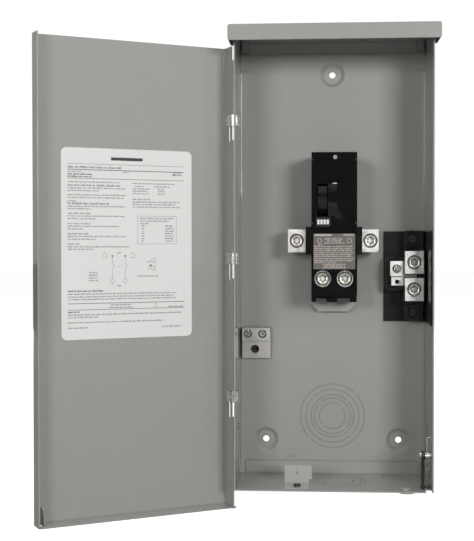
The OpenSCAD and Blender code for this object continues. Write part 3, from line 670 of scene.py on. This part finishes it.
def socket_rows(corner):
    """A hex socket from the middle of its floor outwards, with a low ridge round the floor."""
    wall = hexagon(corner)
    ridge = SOCKET_DEPTH - SOCKET_RIDGE
    return [ring(0.0, SOCKET_DEPTH),
            ring(corner * 0.40, SOCKET_DEPTH),
            ring(corner * 0.48, ridge),
            ring(corner * 0.62, ridge),
            ring(corner * 0.70, SOCKET_DEPTH),
            ring(lambda a: wall(a) * 0.995, SOCKET_DEPTH),
            ring(wall, SOCKET_DEPTH - 0.3 * MM),
            ring(wall, 0.55 * MM),
            ring(lambda a: wall(a) + 0.25 * MM, 0.22 * MM)]


def face_rows(inner, edge):
    """Turned grooves across the end face, between two radii."""
    rows = []
    width = (edge - inner) / GROOVES
    for i in range(GROOVES):
        start = inner + width * i
        rows.append(ring(start + 0.06 * MM, 0.0))
        for share, depth in ((0.55, 0.0), (0.62, GROOVE_DEPTH), (0.93, GROOVE_DEPTH)):
            rows.append(ring(start + width * share, depth))
    return rows


def thread_rows(r, pitch, start, length):
    """A helical thread along the shank, then the flat tip."""
    count = max(12, int((length - start) / (pitch / ROWS_PER_TURN)))
    rows = []
    for i in range(count + 1):
        depth = start + (length - TIP_CHAMFER - start) * i / count
        row = []
        for a in ANGLES:
            phase = (depth / pitch - a / (2 * math.pi)) % 1.0
            dip = min(1.0, 1.25 * (1 - abs(2 * phase - 1)))
            row.append((r - THREAD_CLEAR - THREAD_DEPTH * pitch * dip, depth))
        rows.append(row)
    return rows + [ring(r * 0.7, length), ring(0.0, length)]


def is_painted_shade(depth_a, depth_b):
    """Groove floors and the socket's walls get painted shade: they take the dark steel instead of the
    screw's metal.
    """
    return depth_a == depth_b == GROOVE_DEPTH or abs(depth_a - depth_b) > WALL_STEP


def lathe(rows, mid, y_front):
    """Turns the rows round the y axis. Returns vertices, faces and the numbers of the faces painted
    dark as shade.
    """
    verts, faces, index, shaded_faces = [], [], [], set()
    for row in rows:
        if max(radius for radius, _ in row) < 1e-9:
            index.append([len(verts)] * STEPS)
            verts.append((mid.x, y_front + row[0][1], mid.z))
            continue
        index.append(list(range(len(verts), len(verts) + STEPS)))
        verts += [(mid.x + radius * math.cos(a), y_front + depth, mid.z + radius * math.sin(a))
                  for (radius, depth), a in zip(row, ANGLES)]
    for k, (upper, lower) in enumerate(zip(index, index[1:])):
        in_shade = is_painted_shade(rows[k][0][1], rows[k + 1][0][1])
        for i in range(STEPS):
            j = (i + 1) % STEPS
            quad = [upper[i], upper[j], lower[j], lower[i]]
            quad = [q for n, q in enumerate(quad) if q not in quad[:n]]
            if len(quad) > 2:
                if in_shade:
                    shaded_faces.add(len(faces))
                faces.append(quad)
    return verts, faces, shaded_faces


def turned_screw(name, pitch, socket=None, slot_turn=None):
    """Stands in for a CAD screw: ringed end face, helical thread, and a hex socket or a slot."""
    lo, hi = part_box(name)
    mid = (lo + hi) / 2
    r = (hi.x - lo.x) / 2
    if socket:
        rows, inner, chamfer = socket_rows(socket), socket + 0.5 * MM, 1.0 * MM
    else:
        rows, inner, chamfer = [ring(0.0, 0.0)], 0.25 * MM, 0.5 * MM
    rows += face_rows(inner, r - chamfer)
    rows += [ring(r - chamfer, 0.0), ring(r - THREAD_CLEAR, chamfer * 0.8)]
    rows += thread_rows(r, pitch, chamfer + 0.3 * MM, hi.y - lo.y)

    verts, faces, shaded_faces = lathe(rows, mid, lo.y)
    slot = SLOT_OF[name]
    o = new_piece(name + "_turned", verts, faces, MATS[slot], BODY_OF[name], slot, 35)
    # painted shade: groove floors and socket walls take the dark steel
    o.data.materials.append(MATS["dark_steel"])
    for i in shaded_faces:
        o.data.polygons[i].material_index = 1
    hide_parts(name)
    if slot_turn is not None:
        cut_slot(o, Vector((mid.x, lo.y, mid.z)), r, slot_turn)


def cut_slot(o, centre, r, turn):
    """Cuts a screwdriver slot across the end face."""
    bm = bmesh.new()
    bmesh.ops.create_cube(bm, size=1.0)
    bmesh.ops.scale(bm, vec=(2.4 * r, 2 * SLOT_DEPTH, SLOT_WIDTH), verts=bm.verts)
    bmesh.ops.rotate(bm, verts=bm.verts, cent=(0, 0, 0), matrix=Matrix.Rotation(turn, 3, "Y"))
    bmesh.ops.translate(bm, verts=bm.verts, vec=centre)
    mesh = bpy.data.meshes.new("slot_tool")
    bm.to_mesh(mesh)
    bm.free()
    tool = bpy.data.objects.new("slot_tool", mesh)
    bpy.context.scene.collection.objects.link(tool)
    cut = o.modifiers.new("slot", "BOOLEAN")
    cut.object, cut.operation, cut.solver = tool, "DIFFERENCE", "EXACT"
    graph = bpy.context.evaluated_depsgraph_get()
    done = bpy.data.meshes.new_from_object(o.evaluated_get(graph))
    o.modifiers.clear()
    o.data = done
    bpy.data.objects.remove(tool)


for screw in ("line_screw_left", "line_screw_right", "load_screw_left", "load_screw_right",
              "neutral_screw_upper", "neutral_screw_lower"):
    turned_screw(screw, 1.6 * MM, socket=4.6 * MM)
for screw, turn in (("ground_screw_left", 20), ("ground_screw_right", 80),
                    ("neutral_small_screw", 65)):
    turned_screw(screw, 1.0 * MM, slot_turn=-math.radians(turn))


# ------------------------------------------------------------------ studio

WHITE = (1, 1, 1, 1)
FLOOR_REACH = 14.0
FLOOR_GAP = 0.4 * MM        # the floor lies this far under the part
FLOOR_GLOW = 0.96           # the floor is nearly white to the camera, and grey to everything else
BACKDROP = 1.05
ROOM_LIGHT = 0.05
# Brightness of the mirrored room, and how squarely a ray must face the camera's side to be dark
ROOM_DARK, ROOM_BRIGHT = 0.04, 0.496
DARK_FROM, BRIGHT_FROM = 0.965, 0.85
LAMPS_AIM = Vector((0, -0.05, 0.2))
# Name, place, size and power; the rear lamps stay out of reflections
LAMPS = (("key_right", (1.2, -2.75, 0.72), (0.8, 0.6), 40),
         ("fill_left", (-1.05, -2.75, 0.70), (0.8, 0.6), 22),
         ("top_soft", (0.0, -0.5, 2.6), (1.2, 0.8), 22),
         ("rear_left", (-1.5, 2.5, 0.3), (1.0, 0.8), 46),
         ("rear_right", (1.5, 2.5, 0.3), (1.0, 0.8), 46))


def build_floor():
    z, a = cad_box[0].z - FLOOR_GAP, FLOOR_REACH
    mesh = bpy.data.meshes.new("floor")
    mesh.from_pydata([(-a, -a, z), (a, -a, z), (a, a, z), (-a, a, z)], [], [(0, 1, 2, 3)])
    floor = bpy.data.objects.new("floor", mesh)
    bpy.context.scene.collection.objects.link(floor)
    f = Finish("floor_paint", (0.5, 0.5, 0.5), 0.9, spec=0.0)
    f.mottle(3, 0.004)
    f.shader.inputs["Emission Color"].default_value = WHITE
    to_camera = f.tree.nodes.new("ShaderNodeLightPath").outputs["Is Camera Ray"]
    f.tree.links.new(f.math("MULTIPLY", to_camera, FLOOR_GLOW), f.shader.inputs["Emission Strength"])
    mesh.materials.append(f.done())


def build_world():
    """White to the camera, a bright room with a dark opening to reflections, dim to the rest."""
    world = bpy.data.worlds.new("studio")
    bpy.context.scene.world = world
    world.use_nodes = True
    tree = world.node_tree

    def background(strength):
        node = tree.nodes.new("ShaderNodeBackground")
        node.inputs[0].default_value = WHITE
        node.inputs[1].default_value = strength
        return node

    def choose(test, no, yes):
        node = tree.nodes.new("ShaderNodeMixShader")
        for socket, source in zip(node.inputs, (test, no.outputs[0], yes.outputs[0])):
            tree.links.new(source, socket)
        return node

    coord = tree.nodes.new("ShaderNodeTexCoord")
    ahead = tree.nodes.new("ShaderNodeVectorMath")
    ahead.operation = "DOT_PRODUCT"
    ahead.inputs[1].default_value = FRONT
    tree.links.new(coord.outputs["Generated"], ahead.inputs[0])
    glow = tree.nodes.new("ShaderNodeMapRange")
    glow.interpolation_type = "SMOOTHSTEP"
    for key, v in (("From Min", DARK_FROM), ("From Max", BRIGHT_FROM),
                   ("To Min", ROOM_DARK), ("To Max", ROOM_BRIGHT)):
        glow.inputs[key].default_value = v
    tree.links.new(ahead.outputs["Value"], glow.inputs["Value"])
    mirrored = background(ROOM_BRIGHT)
    tree.links.new(glow.outputs[0], mirrored.inputs[1])

    path = tree.nodes.new("ShaderNodeLightPath")
    unseen = choose(path.outputs["Is Glossy Ray"], background(ROOM_LIGHT), mirrored)
    final = choose(path.outputs["Is Camera Ray"], unseen, background(BACKDROP))
    tree.links.new(final.outputs[0], tree.nodes["World Output"].inputs[0])


def build_lamps():
    for name, place, size, power in LAMPS:
        data = bpy.data.lights.new(name, "AREA")
        data.shape = "RECTANGLE"
        data.size, data.size_y = size
        data.energy = power
        lamp = bpy.data.objects.new(name, data)
        lamp.location = place
        lamp.rotation_mode = "QUATERNION"
        lamp.rotation_quaternion = (LAMPS_AIM - Vector(place)).to_track_quat("-Z", "Y")
        lamp.visible_glossy = not name.startswith("rear")
        bpy.context.scene.collection.objects.link(lamp)


# ------------------------------------------------------------------ camera

CAMERA_PLACE = (-0.0212, -1.3888, 0.2308)
YAW, PITCH, ROLL = 0.0669, -0.0205, -0.0007    # radians to the left, up and anticlockwise
SENSOR_MM, LENS_MM = 36.0, 76.9


def build_camera():
    flat_right = Vector((math.cos(YAW), math.sin(YAW), 0))
    flat_ahead = Vector((-math.sin(YAW), math.cos(YAW), 0))
    upright = Vector((0, 0, 1))
    ahead = flat_ahead * math.cos(PITCH) + upright * math.sin(PITCH)
    up = upright * math.cos(PITCH) - flat_ahead * math.sin(PITCH)
    right = flat_right * math.cos(ROLL) + up * math.sin(ROLL)
    up = up * math.cos(ROLL) - flat_right * math.sin(ROLL)
    data = bpy.data.cameras.new("camera")
    data.sensor_width = SENSOR_MM
    data.lens = LENS_MM
    data.clip_end = 60.0
    cam = bpy.data.objects.new("camera", data)
    turn = Matrix((right, up, -ahead)).transposed()
    cam.matrix_world = Matrix.Translation(CAMERA_PLACE) @ turn.to_4x4()
    bpy.context.scene.collection.objects.link(cam)
    bpy.context.scene.camera = cam


build_floor()
build_world()
build_lamps()
build_camera()
scene = bpy.context.scene
scene.view_settings.view_transform = "Standard"
scene.view_settings.look = "None"
